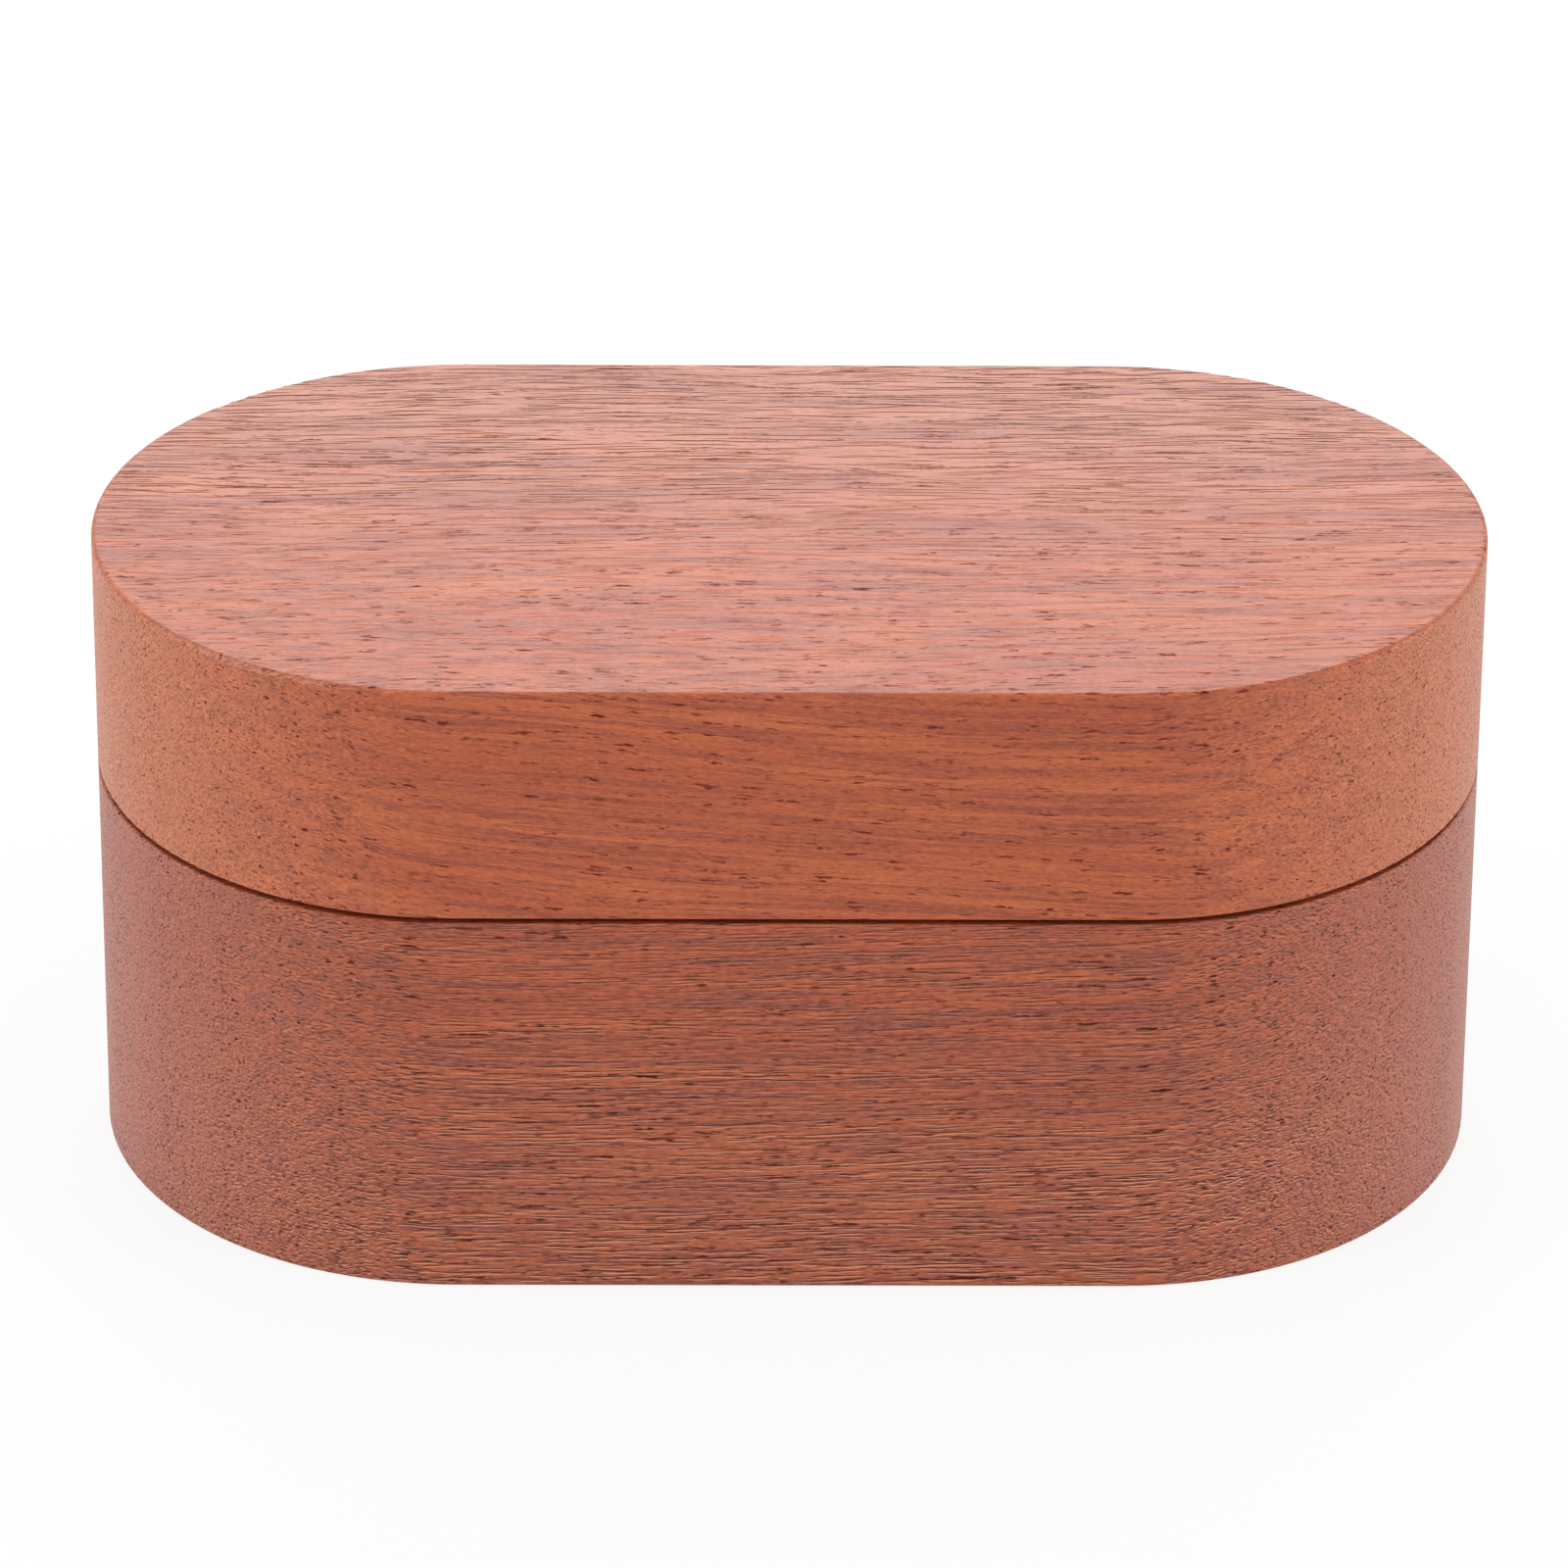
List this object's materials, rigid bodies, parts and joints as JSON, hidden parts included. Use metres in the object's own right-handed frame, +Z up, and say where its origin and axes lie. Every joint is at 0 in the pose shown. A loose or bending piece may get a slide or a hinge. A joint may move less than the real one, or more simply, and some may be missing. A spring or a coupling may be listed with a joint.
{
  "type": "guitar pick case",
  "caption": "Stadium-shaped case milled from solid wood, with a hinged lid, hidden magnets that hold it shut and a felt-lined hollow for guitar picks.",
  "frame": {"origin": "middle of the flat underside of the base", "axes": "+X along the length, +Z up, the front faces -Y and the hinges are on the +Y side"},
  "size_m": [0.08, 0.042, 0.0384],
  "materials": {
    "base_wood": "sanded and oiled, satin",
    "lid_wood": "sanded and oiled, satin",
    "felt": "pressed wool felt",
    "hinge_brass": "stamped and tumbled",
    "pin_steel": "drawn wire",
    "magnet_nickel": "nickel plated"
  },
  "bodies": {
    "base": {"base": "base_wood", "base_felt": "felt", "left_base_magnet": "magnet_nickel", "right_base_magnet": "magnet_nickel", "left_hinge_base_leaf": "hinge_brass", "left_hinge_pin": "pin_steel", "left_hinge_base_screws": "hinge_brass", "right_hinge_base_leaf": "hinge_brass", "right_hinge_pin": "pin_steel", "right_hinge_base_screws": "hinge_brass"},
    "lid": {"lid": "lid_wood", "lid_felt": "felt", "left_lid_magnet": "magnet_nickel", "right_lid_magnet": "magnet_nickel", "left_hinge_lid_leaf": "hinge_brass", "left_hinge_lid_screws": "hinge_brass", "right_hinge_lid_leaf": "hinge_brass", "right_hinge_lid_screws": "hinge_brass"}
  },
  "joints": [
    {"name": "lid_hinge", "type": "hinge", "parent": "base", "child": "lid", "pos_m": [0, 0.01975, 0.02395], "axis": [-1, 0, 0], "range_deg": [0, 100]}
  ]
}
